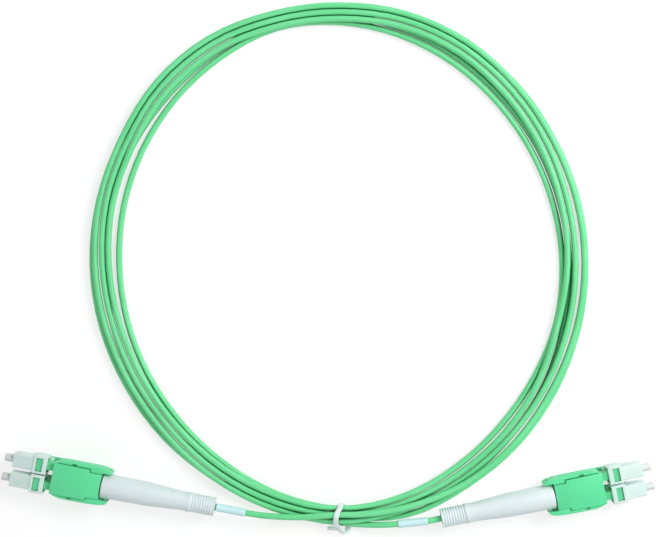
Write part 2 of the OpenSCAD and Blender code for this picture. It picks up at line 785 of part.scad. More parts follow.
module crimp_body() {
    flange_x0 = rear_wall + snap_gap;
    color(steel_grey)
        difference() {
            union() {
                bar(barrel_d, -barrel_len, flange_x0 + eps);
                bar(crimp_flange_d, flange_x0, flange_x0 + crimp_flange_t);
                for (i = [0:3]) bar(barrel_d + 2 * seat_gap, -6.2 + 1.2 * i, -5.8 + 1.2 * i);
            }
            bar(cable_d + 2 * seat_gap, -barrel_len - 1, flange_x0 + crimp_flange_t + 1);
        }
}

module crimp_ring() {
    bore = barrel_d + 4 * seat_gap;
    color(steel_grey)
        difference() {
            bar(bore + 2 * crimp_wall, -barrel_len + 0.2, -barrel_len + 0.2 + crimp_len);
            bar(bore, -barrel_len, -barrel_len + crimp_len + 1);
        }
}

module boot() {
    ribs_len = rib_count * rib_pitch;
    rib_r = rib_d / 2;
    outside = [
        for (i = [0:rib_count - 1])
        each [
            [rib_r, i * rib_pitch], [rib_r, i * rib_pitch + rib_w],
            [rib_r - rib_depth, i * rib_pitch + rib_w], [rib_r - rib_depth, (i + 1) * rib_pitch]
        ]
    ];
    color(boot_white)
        difference() {
            union() {
                translate([boot_tail_x, 0, 0])
                    rotate([0, 90, 0])
                        rotate_extrude()
                            polygon(concat([[0, 0]], outside, [
                                [rib_r + 0.1, ribs_len], [rib_r + 0.1, ribs_len + 0.8],
                                [boot_waist_d / 2, ribs_len + 2], [boot_waist_d / 2 + 0.05, ribs_len + 4],
                                [boot_middle_d / 2, boot_middle], [boot_front_d / 2, boot_len - 0.2],
                                [boot_front_d / 2 - 0.2, boot_len], [0, boot_len]
                            ]));
                translate([lug_x, 0, 0])
                    rotate([90, 0, 0])
                        cylinder(r = lug_r, h = 2 * lug_tip_y, center = true);
            }
            bar(boot_chamber_d, boot_front_x - boot_chamber_len, boot_front_x + 1);
            bar(boot_bore, boot_tail_x - 1, boot_front_x);
            bar(tail_bore, boot_tail_x - 1, boot_tail_x + tail_bore_depth);
        }
}

// The last stretch of cable, held inside the boot and the crimp body.
module cable_end() {
    color(cable_green) bar(cable_d, boot_tail_x, jacket_end_x);
}

module label_sleeve(gap) {
    color(label_blue)
        difference() {
            bar(label_d, boot_tail_x - gap - label_len, boot_tail_x - gap);
            bar(cable_d + 2 * label_clear, boot_tail_x - gap - label_len - 1, boot_tail_x - gap + 1);
        }
}

// ---- placing ----

module plug_frame(exit, turn)
    translate(exit)
        rotate([0, 0, turn])
            translate([-boot_tail_x, 0, 0])
                children();

module left_plug() plug_frame(left_exit, left_turn) children();

module right_plug() plug_frame(right_exit, right_turn) children();

module port(side) translate([0, side * port_pitch / 2, 0]) children();

// ---- the cord and its tie ----

module cord_coil() {
    color(cable_green) tube(coil_route, cable_d / 2, 6);
}

module left_lead() {
    color(cable_green) tube(left_lead_route, cable_d / 2, 8);
}

module right_lead() {
    color(cable_green) tube(right_lead_route, cable_d / 2, 8);
}

// The tie goes round the bundle where the coil's first loop begins.
module tie_loop(width, height)
    union() {
        square([width - height, height], center = true);
        for (side = [-1, 1]) translate([side * (width - height) / 2, 0]) circle(d = height);
    }

module bundle_tie() {
    bundle_w = loops / 2 * loop_pitch + cable_d;
    bundle_h = layer_rise + cable_d;
    inner_w = bundle_w + 2 * tie_gap + 1;
    inner_h = bundle_h + 2 * tie_gap;
    middle = [
        coil_x, coil_loops[0][1] + (bundle_w - cable_d) / 2,
        tie_lift - tie_gap + inner_h / 2
    ];
    color(tie_white)
        translate(middle) rotate([0, 0, tie_turn]) {
            translate([-tie_w / 2, 0, 0])
                rotate([90, 0, 90])
                    linear_extrude(tie_w)
                        difference() {
                            tie_loop(inner_w + 2 * tie_t, inner_h + 2 * tie_t);
                            tie_loop(inner_w, inner_h);
                        }
            translate([-tie_w / 2 - tie_tail, -2.6, inner_h / 2 + 0.1])
                cube([tie_tail + 0.5, 1.4, tie_t - 0.2]);
        }
}

cord_coil();
left_lead();
right_lead();
bundle_tie();

left_plug() boot();  // left_boot
left_plug() cable_end();  // left_cable_end
left_plug() label_sleeve(label_gap_left);  // left_label_sleeve
left_plug() crimp_body();  // left_crimp_body
left_plug() crimp_ring();  // left_crimp_ring
left_plug() housing_top();  // left_housing_top
left_plug() housing_base();  // left_housing_base
left_plug() trigger_clip();  // left_trigger_clip
left_plug() fibre(1);  // left_fibre_1
left_plug() port(1) extender(1);  // left_extender_1
left_plug() port(1) ferrule_spring();  // left_spring_1
left_plug() port(1) ferrule_flange();  // left_flange_1
left_plug() port(1) ferrule();  // left_ferrule_1
left_plug() port(1) front_housing();  // left_front_housing_1
left_plug() port(1) latch_arm();  // left_latch_1
left_plug() port(1) dust_cap();  // left_dust_cap_1
left_plug() fibre(-1);  // left_fibre_2
left_plug() port(-1) extender(-1);  // left_extender_2
left_plug() port(-1) ferrule_spring();  // left_spring_2
left_plug() port(-1) ferrule_flange();  // left_flange_2
left_plug() port(-1) ferrule();  // left_ferrule_2
left_plug() port(-1) front_housing();  // left_front_housing_2
left_plug() port(-1) latch_arm();  // left_latch_2
left_plug() port(-1) dust_cap();  // left_dust_cap_2

right_plug() boot();  // right_boot
right_plug() cable_end();  // right_cable_end
right_plug() label_sleeve(label_gap_right);  // right_label_sleeve
right_plug() crimp_body();  // right_crimp_body
right_plug() crimp_ring();  // right_crimp_ring
right_plug() housing_top();  // right_housing_top
right_plug() housing_base();  // right_housing_base
right_plug() trigger_clip();  // right_trigger_clip
right_plug() fibre(1);  // right_fibre_1
right_plug() port(1) extender(1);  // right_extender_1
right_plug() port(1) ferrule_spring();  // right_spring_1
right_plug() port(1) ferrule_flange();  // right_flange_1
right_plug() port(1) ferrule();  // right_ferrule_1
right_plug() port(1) front_housing();  // right_front_housing_1
right_plug() port(1) latch_arm();  // right_latch_1
right_plug() port(1) dust_cap();  // right_dust_cap_1
right_plug() fibre(-1);  // right_fibre_2
right_plug() port(-1) extender(-1);  // right_extender_2
right_plug() port(-1) ferrule_spring();  // right_spring_2
right_plug() port(-1) ferrule_flange();  // right_flange_2
right_plug() port(-1) ferrule();  // right_ferrule_2
right_plug() port(-1) front_housing();  // right_front_housing_2
right_plug() port(-1) latch_arm();  // right_latch_2
right_plug() port(-1) dust_cap();  // right_dust_cap_2
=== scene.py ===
import math

import bmesh
import bpy
from mathutils import Matrix, Vector


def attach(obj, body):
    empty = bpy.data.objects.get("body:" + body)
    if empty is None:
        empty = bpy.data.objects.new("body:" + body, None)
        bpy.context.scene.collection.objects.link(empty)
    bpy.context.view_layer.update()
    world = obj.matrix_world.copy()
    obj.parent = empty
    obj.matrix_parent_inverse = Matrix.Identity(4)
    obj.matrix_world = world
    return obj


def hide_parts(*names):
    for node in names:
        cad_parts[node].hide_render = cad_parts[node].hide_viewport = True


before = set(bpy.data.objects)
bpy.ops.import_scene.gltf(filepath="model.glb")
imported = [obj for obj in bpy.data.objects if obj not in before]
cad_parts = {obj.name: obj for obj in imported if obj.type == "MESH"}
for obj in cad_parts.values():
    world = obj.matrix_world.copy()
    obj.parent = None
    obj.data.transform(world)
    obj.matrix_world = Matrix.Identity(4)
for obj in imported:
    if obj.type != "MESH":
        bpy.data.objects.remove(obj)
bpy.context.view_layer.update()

# ---- the table and its light ----
# The cord lies on a plain pale table top, under a large soft lamp and a weaker one.
# The camera looks almost straight down from above the middle of the coil.


def srgb(red, green, blue):
    """A colour as written on a screen, 0 to 255, as the shader's own linear numbers."""
    shares = (part / 255 for part in (red, green, blue))
    return tuple(c / 12.92 if c <= 0.04045 else ((c + 0.055) / 1.055) ** 2.4 for c in shares) + (1.0,)


class Field:
    """A number that varies over a surface. Arithmetic on it adds Math nodes."""

    def __init__(self, nodes, socket):
        self.nodes = nodes
        self.socket = socket

    def maths(self, operation, *terms):
        return self.nodes.field("ShaderNodeMath", {"operation": operation}, dict(enumerate(terms)))

    def __add__(self, other):
        return self.maths("ADD", self, other)

    def __mul__(self, other):
        return self.maths("MULTIPLY", self, other)

    def __radd__(self, other):
        return self.maths("ADD", other, self)

    def __rmul__(self, other):
        return self.maths("MULTIPLY", other, self)


class Nodes:
    """A node tree, and the one way in which nodes are added to it."""

    def __init__(self, tree):
        self.tree = tree

    def node(self, kind, settings=None, sockets=None):
        made = self.tree.nodes.new(kind)
        for key, value in (settings or {}).items():
            setattr(made, key, value)
        for key, value in (sockets or {}).items():
            self.plug(made.inputs[key], value)
        return made

    def plug(self, socket, value):
        if isinstance(value, Field):
            value = value.socket
        if isinstance(value, bpy.types.NodeSocket):
            self.tree.links.new(value, socket)
        else:
            socket.default_value = value

    def field(self, kind, settings=None, sockets=None, out=0):
        return Field(self, self.node(kind, settings, sockets).outputs[out])

    def seen_directly(self):
        """1 where the eye, a gloss or a clear piece looks at a thing, and 0 where it only gives light."""
        path = self.node("ShaderNodeLightPath").outputs
        rays = ("Is Camera Ray", "Is Glossy Ray", "Is Transmission Ray")
        camera, gloss, clear = (Field(self, path[ray]) for ray in rays)
        return camera + gloss + clear


class Look(Nodes):
    """One material, built round its Principled shader."""

    def __init__(self, name, **own):
        self.material = bpy.data.materials.new(name)
        self.material.use_nodes = True
        super().__init__(self.material.node_tree)
        self.shader = self.tree.nodes["Principled BSDF"]
        for key, value in own.items():
            self.shader.inputs[key.replace("_", " ").title().replace("Ior", "IOR")].default_value = value

    def feed(self, **sockets):
        for key, value in sockets.items():
            self.plug(self.shader.inputs[key.replace("_", " ").title()], value)

    def blend(self, share, one, other):
        """A colour that goes from one to other as share goes from 0 to 1."""
        node = self.node(
            "ShaderNodeMix", {"data_type": "RGBA"},
            {"Factor": share, 6: one, 7: other},
        )
        return node.outputs[2]

    def ramp(self, value, low, high):
        """0 below low, 1 above high, and smooth between them."""
        return self.field(
            "ShaderNodeMapRange", {"interpolation_type": "SMOOTHSTEP"},
            {"Value": value, "From Min": low, "From Max": high},
        )

    def noise(self, scale, detail=2.0, where=None):
        """Soft noise from 0 to 1 through the piece's own space, or along the vector given."""
        if where is None:
            where = self.node("ShaderNodeTexCoord").outputs["Object"]
        return self.field("ShaderNodeTexNoise", {}, {"Vector": where, "Scale": scale, "Detail": detail})

    def shade_gaps(self, reach, dark, colour):
        """The colour with painted shade, turned dark deep in a gap where other faces stand within the
        reach.
        """
        open_share = self.field(
            "ShaderNodeAmbientOcclusion", {"samples": 8}, {"Distance": reach}, "AO",
        )
        return self.blend(self.ramp(open_share, 0.0, 0.75), dark, colour)

    def bump(self, height, depth, strength=1.0):
        """Relief of that depth in metres. height goes from 0 to 1."""
        relief = {"Height": height, "Distance": depth, "Strength": strength}
        return self.node("ShaderNodeBump", {}, relief).outputs[0]


scene = bpy.context.scene
scene.view_settings.view_transform = "Standard"

eye = bpy.data.cameras.new("eye")
eye.lens = 63.43
eye.sensor_width = 36
eye.clip_start = 0.01
camera = bpy.data.objects.new("eye", eye)
camera.location = (0, 0.08141, 0.37269)
camera.rotation_euler = (math.radians(-1.67), 0, 0)
scene.collection.objects.link(camera)
scene.camera = camera

table_half, table_drop = 3, 0.00005
table_bm = bmesh.new()
bmesh.ops.create_grid(table_bm, x_segments=1, y_segments=1, size=table_half)
bmesh.ops.translate(table_bm, verts=table_bm.verts, vec=(0, 0, -table_drop))
table_mesh = bpy.data.meshes.new("table_top")
table_bm.to_mesh(table_mesh)
table_bm.free()
table_top = bpy.data.objects.new("table_top", table_mesh)
scene.collection.objects.link(table_top)

white_top = Look("white_table_top", roughness=0.9)
white_top.feed(Base_Color=srgb(250, 250, 250))
# Seen directly, the table shows mostly a white of its own, and shadows in the rest.
glow_strength, glow_share = 1.14, 0.6
lit_part = white_top.node(
    "ShaderNodeEmission", {}, {"Color": (1, 1, 1, 1), "Strength": glow_strength},
)
top_mix = white_top.node(
    "ShaderNodeMixShader", {},
    {0: white_top.seen_directly() * glow_share, 1: white_top.shader.outputs[0], 2: lit_part.outputs[0]},
)
white_top.tree.links.new(top_mix.outputs[0], white_top.tree.nodes["Material Output"].inputs["Surface"])
table_mesh.materials.append(white_top.material)

room = bpy.data.worlds.new("room")
room.use_nodes = True
room_light = 0.42
room_nodes = Nodes(room.node_tree)
backdrop = room.node_tree.nodes["Background"].inputs
backdrop["Color"].default_value = (1, 1, 1, 1)
room_nodes.plug(backdrop["Strength"], room_light + (1 - room_light) * room_nodes.seen_directly())
scene.world = room


lamp_aim = Vector((0.03, 0.06, 0))


def soft_lamp(name, place, size, power):
    """A round lamp that shines on the coil and isn't seen itself."""
    lamp = bpy.data.lights.new(name, "AREA")
    lamp.shape = "DISK"
    lamp.size = size
    lamp.energy = power
    holder = bpy.data.objects.new(name, lamp)
    holder.location = place
    holder.rotation_euler = (lamp_aim - Vector(place)).to_track_quat("-Z", "Y").to_euler()
    holder.visible_camera = False
    scene.collection.objects.link(holder)


soft_lamp("key_lamp", (0.36, 0.28, 0.42), 0.3, 2.4)
soft_lamp("fill_lamp", (-0.3, -0.35, 0.7), 0.6, 0.75)

# ---- the cord ----
# A round 2.0 mm duplex cable with a satin green extruded jacket. It leaves the left
# boot, makes six loops in two layers, spiralling in and then out, and enters the
# right boot.

mm = 0.001
cable_r = 1.0 * mm
axis_h = 5.75 * mm
left_exit, left_turn = Vector((-36.1 * mm, -5.5 * mm, axis_h)), math.radians(169)
right_exit, right_turn = Vector((36.2 * mm, -9.2 * mm, axis_h)), math.radians(11.5)
coil_centre = (3.6, 72.0)


def loop_radius(a):
    """Radius of the mean loop in mm, which is a little oval, at an angle a from the tie."""
    return (
        77.6 + 2.7 * math.cos(2 * (a - math.radians(10)))
        + 0.4 * math.cos(3 * a) + 0.5 * math.cos(4 * (a - math.radians(6)))
    )


def smooth_run(marks, steps):
    """Values on one smooth line through the marks, from the second to the last but one."""
    run = []
    for a, b, c, d in zip(marks, marks[1:], marks[2:], marks[3:]):
        slope, bend, twist = c - a, 2 * a - 5 * b + 4 * c - d, 3 * b - a - 3 * c + d
        for k in range(steps):
            t = k / steps
            run.append(0.5 * (2 * b + slope * t + bend * t * t + twist * t ** 3))
    return run + [marks[-2]]


# How far the cord lies outside the mean loop, in mm, every 15 degrees from the tie, with
# two lines for each loop. Three loops spiral in on top, and three spiral out along the
# table under them.
marks_round = 24
aside_marks = [
    -1, -0.3, 1.3, 2.5, 2.9, 3.05, 2.95, 2.85, 2.95, 3.5, 3.9, 3.25,
    2.15, 2.05, 3.3, 3.75, 3.05, 2.95, 2.6, 2.4, 2.2, 2.1, 2, 1.65,
    1.6, 0.65, 0.05, 0.15, 0.55, 0.35, 0.05, 0, 0.75, 1.4, 1.8, 1.15,
    0.05, -0.05, 1.2, 1.65, 0.95, 0.85, 0.3, 0.05, -0.05, -0.1, -0.1, -0.45,
    -0.45, -1.4, -2.03, -1.95, -2.2, -3.05, -2.5, -2.1, -1.5, -0.8, -0.3, -0.95,
    -2.05, -2.15, -1, -0.5, -1.15, -1.25, -1.8, -2.1, -2.2, -2.2, -2.25, -2.6,
    -2.5, -3.42, -4.12, -4.1, -3.6, -3.2, -3.75, -4.3, -4.35, -4.1, -3.7, -3.35,
    -2.85, -2.3, -3.3, -3.8, -4.2, -4.55, -4.75, -4.35, -3.85, -3.5, -3.2, -2.65,
    -1.75, 0.4, 0.8, 0.65, 0.45, -0.7, -1.5, -2, -2, -2, -1.6, -1.25,
    -0.7, -0.2, -1.2, -1.3, -0.8, -0.35, -0.1, 0.5, 0.6, 0.4, -0.1, -0.4,
    0.3, 3.05, 3.05, 3.95, 4.3, 4.1, 3.75, 3.65, 3.65, 4.15, 3.75, 2.95,
    1.95, 1.9, 2.9, 3.3, 3.35, 3.6, 3.85, 4, 3.95, 3.6, 2.5, 1.75,
    2.5,
]
steps_between = 4
layer_rise, tie_rise = 2.05, 0.7


def ease(share):
    """A smooth step, 0 up to a share of 0 and 1 from a share of 1."""
    return (1 - math.cos(math.pi * min(max(share, 0), 1))) / 2


def coil_point(i, out):
    """The place of step i along the loops. The start lies two layers up, the first three
    loops one, and each loop rises a little where it passes the tie."""
    t = i / (marks_round * steps_between)
    a = 2 * math.pi * t
    degrees_off = abs(math.degrees(a) - 360 * round(t))
    layers_up = (1 - ease((t - 3) / 0.19)) + (1 - ease((t - 0.08) / 0.08))
    height = cable_r / mm + layer_rise * layers_up + tie_rise * (1 - ease(degrees_off / 28))
    r = loop_radius(a) + out
    return Vector((coil_centre[0] + r * math.sin(a), coil_centre[1] - r * math.cos(a), height)) * mm


def lead_route(leaving, turn, straight, bends, joins, after):
    """The line from a boot to a loop's end: straight for that many mm, then round the bends."""
    back = leaving - straight * mm * Vector((math.cos(turn), math.sin(turn), 0))
    marks = [leaving, back] + [Vector(bend) * mm for bend in bends] + [joins, after]
    return [leaving, leaving.lerp(back, 0.5)] + smooth_run(marks, 6)[:-1]


asides = smooth_run(aside_marks[:1] + aside_marks + aside_marks[-1:], steps_between)
coil = [coil_point(i, out) for i, out in enumerate(asides)]
left_bends = [(-18, -8.5, 5.8), (-8, -8.8, 5.8)]
right_bends = [
    (32.4, -9.98, 5.75), (27.7, -10.46, 5.75), (23, -10.95, 5.75),
    (18.2, -11.45, 4.95), (13.4, -11.85, 3.4), (8.5, -11.88, 2.2),
]
left_lead = lead_route(left_exit, left_turn, 10.9, left_bends, coil[0], coil[1])
right_lead = lead_route(right_exit, right_turn, 1.5, right_bends, coil[-1], coil[-2])
cord_path = left_lead + coil + right_lead[::-1]


def keep(mesh, name, look, body, slot, *nodes):
    """Puts a finished mesh in the scene, in place of the nodes, on their body."""
    piece = bpy.data.objects.new(name, mesh)
    scene.collection.objects.link(piece)
    mesh.materials.clear()
    mesh.materials.append(look.material)
    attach(piece, body)
    if nodes:
        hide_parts(*nodes)
    return piece


def swept(name, path, radius, sides=16, half_width=0.0, closed=False):
    """A mesh drawn along a path, a round tube or a band that is wide along Z. Its strand
    attribute holds the place round the section and the distance along, in metres."""
    line = bpy.data.curves.new(name, "CURVE")
    line.dimensions = "3D"
    line.twist_mode = "Z_UP" if half_width else "MINIMUM"
    line.bevel_depth = radius
    line.bevel_resolution = sides // 4 - 1
    line.extrude = half_width
    line.use_fill_caps = not closed
    spline = line.splines.new("POLY")
    spline.points.add(len(path) - 1)
    for point, place in zip(spline.points, path):
        point.co = (*place, 1)
    spline.use_cyclic_u = closed
    spline.use_smooth = True
    holder = bpy.data.objects.new(name, line)
    scene.collection.objects.link(holder)
    graph = bpy.context.evaluated_depsgraph_get()
    mesh = bpy.data.meshes.new_from_object(holder.evaluated_get(graph))
    bpy.data.objects.remove(holder)
    sides_round = len(mesh.vertices) // len(path)
    strand = mesh.attributes.new("strand", "FLOAT_VECTOR", "POINT")
    run = 0.0
    for i, place in enumerate(path):
        run += (place - path[i - 1]).length if i else 0.0
        for k in range(sides_round):
            a = 2 * math.pi * k / sides_round
            strand.data[i * sides_round + k].vector = (math.cos(a), math.sin(a), run)
    return mesh


cord_mesh = swept("cord", cord_path, cable_r)

jacket = Look(
    "cable_jacket", roughness=0.4, specular_ior_level=0.45,
    subsurface_weight=0.08, subsurface_scale=0.001,
)
along = jacket.node("ShaderNodeAttribute", {"attribute_name": "strand"}).outputs["Vector"]
stretched = jacket.node("ShaderNodeMapping", {}, {"Vector": along, "Scale": (3.0, 3.0, 60.0)}).outputs[0]
drawn = jacket.noise(1.6, 3.0, stretched)
clouds = jacket.noise(45.0)
grain = jacket.noise(5200.0)
tint = jacket.ramp(drawn * 0.6 + clouds * 0.4, 0.34, 0.66)
green = jacket.blend(tint, srgb(100, 218, 142), srgb(124, 235, 166))
jacket.feed(
    Base_Color=jacket.shade_gaps(2.5 * mm, srgb(30, 112, 62), green),
    Roughness=0.34 + 0.14 * grain,
    Normal=jacket.bump(drawn * 0.5 + grain * 0.5, 0.00003, 0.6),
)
cord = keep(cord_mesh, "cord", jacket, "cord", "cable_jacket", "cord_coil", "left_lead", "right_lead")
for node in ("left_cable_end", "right_cable_end"):
    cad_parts[node].material_slots[0].material = jacket.material

# ---- the tie ----
# A soft white plastic tie, 1.7 mm wide with fine cross ribs, goes round the whole bundle
# where the first loop begins. It is loose at the outer side, where its flat end pokes out.

tie_middle = Vector((coil_centre[0], coil_centre[1] - loop_radius(0) - 0.25, 3.65)) * mm
lean = math.radians(3)
tie_seat = Matrix.Translation(tie_middle) @ Matrix((
    (-math.sin(lean), 0, math.cos(lean), 0),
    (math.cos(lean), 0, math.sin(lean), 0),
    (0, 1, 0, 0),
    (0, 0, 0, 1),
))
# Places round the bundle: across it, up, and along the cord.
tie_marks = [Vector(mark) * mm for mark in (
    (4.05, 0.1, 0.9), (3.3, 1.8, 0.4), (1.95, 3.3, -0.6), (0.5, 3.4, -1.0), (-1.2, 2.3, -1.2),
    (-2.9, 1.0, -0.8), (-4.2, -0.3, 0.0), (-5.5, -1.5, 1.1), (-5.5, -2.8, 2.3), (-3.8, -3.25, 2.8),
    (-1.5, -3.25, 2.4), (1.2, -3.25, 1.9), (3.3, -2.1, 1.4),
)]
tie_path = smooth_run(tie_marks[-1:] + tie_marks + tie_marks[:2], 8)[:-1]
half_thick, half_flat = 0.3 * mm, 0.55 * mm
tie_bm = bmesh.new()
tie_bm.from_mesh(swept("tie", tie_path, half_thick, 12, half_flat, closed=True))
flap_seat = Matrix.Translation(Vector((-4.3, -2.5, -1.8)) * mm) @ Matrix.Rotation(math.radians(-6), 4, "Y")
flap_size = Matrix.Diagonal((1.15 * mm, 0.5 * mm, 4.4 * mm, 1))
flap = bmesh.ops.create_cube(tie_bm, size=1)["verts"]
bmesh.ops.transform(tie_bm, verts=flap, matrix=flap_seat @ flap_size)
flap_edges = list({edge for vert in flap for edge in vert.link_edges})
bmesh.ops.bevel(
    tie_bm, geom=flap_edges, offset=0.15 * mm, offset_type="OFFSET", affect="EDGES",
    segments=2, profile=0.5, material=-1,
)
bmesh.ops.transform(tie_bm, matrix=tie_seat, verts=tie_bm.verts)
bmesh.ops.recalc_face_normals(tie_bm, faces=tie_bm.faces)
for face in tie_bm.faces:
    face.smooth = True
tie_mesh = bpy.data.meshes.new("tie")
tie_bm.to_mesh(tie_mesh)
tie_bm.free()

soft_white = Look("tie_plastic", roughness=0.5, subsurface_weight=0.3, subsurface_scale=0.002)
along = soft_white.node("ShaderNodeAttribute", {"attribute_name": "strand"}).outputs["Vector"]
distance = soft_white.field("ShaderNodeSeparateXYZ", {}, {0: along}, 2)
rib_spacing = 0.62 * mm
ribs = distance.maths("SINE", distance * (2 * math.pi / rib_spacing)) * 0.5 + 0.5
milk = soft_white.noise(900.0)
# The colour carries painted shade along the ribs: darker in the grooves and paler on the crests, with a
# random milky tone over it.
soft_white.feed(
    Base_Color=soft_white.blend(ribs * 0.7 + milk * 0.3, srgb(226, 242, 243), srgb(252, 254, 254)),
    Roughness=0.42 + 0.15 * milk,
    Normal=soft_white.bump(ribs * 0.85 + milk * 0.15, 0.00008, 0.8),
)
tie = keep(tie_mesh, "tie", soft_white, "cord", "tie", "bundle_tie")

# ---- the plugs' shared shapes ----
# Each plug is drawn in its own frame, with its housing's rear end at 0, +X out of the
# ferrules and +Y across the ports. Outlines are in mm.

boot_tail = -36.9
tail_to_origin = Matrix.Translation((-boot_tail * mm, 0, 0))
seats = {
    side: Matrix.Translation(leaving) @ Matrix.Rotation(turn, 4, "Z") @ tail_to_origin
    for side, leaving, turn in (("left", left_exit, left_turn), ("right", right_exit, right_turn))
}
ports = {1: 3.125 * mm, 2: -3.125 * mm}


def finish_mesh(bm, name, crease=40):
    """Makes a mesh with smooth rounds and crisp edges."""
    bmesh.ops.recalc_face_normals(bm, faces=bm.faces)
    for face in bm.faces:
        face.smooth = True
    for edge in bm.edges:
        edge.smooth = len(edge.link_faces) == 2 and edge.calc_face_angle(0) < math.radians(crease)
    mesh = bpy.data.meshes.new(name)
    bm.to_mesh(mesh)
    bm.free()
    return mesh


def turned(name, outline, seat, steps=48, crease=40):
    """A piece turned about the plug's axis. outline holds pairs of distance along and radius, in mm."""
    bm = bmesh.new()
    ring = [bm.verts.new((x * mm, 0, r * mm)) for x, r in outline]
    edges = [bm.edges.new((a, b)) for a, b in zip(ring, ring[1:] + ring[:1])]
    bmesh.ops.spin(
        bm, geom=ring + edges, axis=(1, 0, 0), cent=(0, 0, 0),
        angle=2 * math.pi, steps=steps, use_merge=True,
    )
    bmesh.ops.remove_doubles(bm, verts=bm.verts, dist=1e-7)
    bmesh.ops.transform(bm, matrix=seat, verts=bm.verts)
    return finish_mesh(bm, name, crease)


def rounded(node, radius, crease=28):
    """A copy of a moulded node with its sharp edges rounded, and the rounds marked for a painted
    highlight.
    """
    bm = bmesh.new()
    bm.from_mesh(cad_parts[node].data)
    bmesh.ops.remove_doubles(bm, verts=bm.verts, dist=2e-6)
    bmesh.ops.dissolve_limit(bm, angle_limit=math.radians(0.6), verts=bm.verts, edges=bm.edges)
    sharp = [
        edge for edge in bm.edges
        if len(edge.link_faces) == 2 and edge.calc_face_angle(0) > math.radians(crease)
    ]
    highlight_mark = bm.faces.layers.float.new("painted_edge_highlight")
    softened = bmesh.ops.bevel(
        bm, geom=sharp, offset=radius, offset_type="OFFSET", affect="EDGES",
        segments=2, profile=0.5, material=-1, clamp_overlap=True,
    )
    for face in softened["faces"]:
        face[highlight_mark] = 1.0
    return finish_mesh(bm, node + "_moulding")


# ---- label sleeves ----
# A matt pale blue sleeve is shrunk on the cable behind each boot, and is bare of print.
# The sleeves and the tie go with the cord wherever it is laid.

label_look = Look("label_sleeve", roughness=0.6)
fleck = label_look.noise(1400.0, 3.0)
label_look.feed(
    Base_Color=label_look.blend(fleck, srgb(202, 242, 247), srgb(217, 249, 252)),
    Roughness=0.5 + 0.15 * fleck,
    Normal=label_look.bump(fleck, 0.00003, 0.5),
)
label_end, label_gap = -9.5, 0.4
label_outline = [
    (label_end, 1.05), (label_end, 1.22), (label_end + 0.08, 1.28), (label_end + 0.5, 1.3),
    (label_end + 1.2, 1.27), (-1.2, 1.27), (-0.5, 1.3), (-0.08, 1.28), (0, 1.22), (0, 1.05),
]
right_label_place = Matrix.Translation(Vector((31.8, -10.04, 5.75)) * mm)
label_seats = {
    "left": seats["left"] @ Matrix.Translation(((boot_tail - label_gap) * mm, 0, 0)),
    "right": right_label_place @ Matrix.Rotation(math.radians(5.9), 4, "Z"),
}
for side, seat in label_seats.items():
    mesh = turned(side + "_label", label_outline, seat)
    keep(mesh, side + "_label", label_look, "cord", "label", side + "_label_sleeve")

# ---- boots ----
# A long tapered soft boot, cast in bluish white, with nine ribs at its tail. Two lugs
# at its front hold the clip, which the boot pulls back.

boot_look = Look("boot_plastic", roughness=0.5, subsurface_weight=0.1, subsurface_scale=0.002)
haze = boot_look.noise(160.0)
skin = boot_look.noise(2600.0, 3.0)
boot_look.feed(
    Base_Color=boot_look.blend(haze, srgb(222, 236, 239), srgb(232, 243, 245)),
    Roughness=0.42 + 0.14 * skin,
    Normal=boot_look.bump(skin, 0.00004, 0.5),
)
rib_count, rib_pitch = 9, 0.85
rib = ((0.03, 2.85), (0.08, 3.02), (0.18, 3.1), (0.32, 3.1), (0.42, 3.02), (0.5, 2.9), (0.8, 2.88))
boot_outline = [(boot_tail + rib_pitch * i + x, r) for i in range(rib_count) for x, r in rib]
collar = boot_tail + rib_count * rib_pitch
boot_outline += [
    (collar + 0.05, 3.1), (collar + 0.15, 3.2), (collar + 0.7, 3.2), (collar + 1.0, 3.15),
    (collar + 2, 3.0), (collar + 4, 3.02), (collar + 8.7, 3.4),
    (boot_tail + 21, 3.75), (boot_tail + 28, 3.87), (-0.7, 4.0), (-0.48, 3.94), (-0.4, 3.8),
]
hollow, cable_hole = 2.65, 1.2
boot_outline += [
    (-0.4, hollow), (-8.0, hollow), (-8.0, cable_hole), (boot_tail + 2.6, cable_hole),
    (boot_tail + 2.6, 1.6), (boot_tail, 1.6), (boot_tail, 2.7),
]
lug_r, lug_span = 0.7 * mm, 10 * mm
lug_seat = Matrix.Translation((-2 * mm, 0, 0)) @ Matrix.Rotation(math.pi / 2, 4, "X")
for side, seat in seats.items():
    bm = bmesh.new()
    bm.from_mesh(turned(side + "_boot", boot_outline, Matrix.Identity(4), 64, 50))
    lugs = bmesh.ops.create_cone(
        bm, cap_ends=True, segments=32, radius1=lug_r, radius2=lug_r, depth=lug_span,
    )
    bmesh.ops.transform(bm, verts=lugs["verts"], matrix=lug_seat)
    bmesh.ops.transform(bm, matrix=seat, verts=bm.verts)
    mesh = finish_mesh(bm, side + "_boot", 50)
    keep(mesh, side + "_boot", boot_look, side + "_grip", "boot", side + "_boot")

# ---- main housings and their extenders ----
# Two moulded green shells hold the extenders, which carry the two front housings. Each
# extender has a tab that snaps into a window there and lies below its rim.

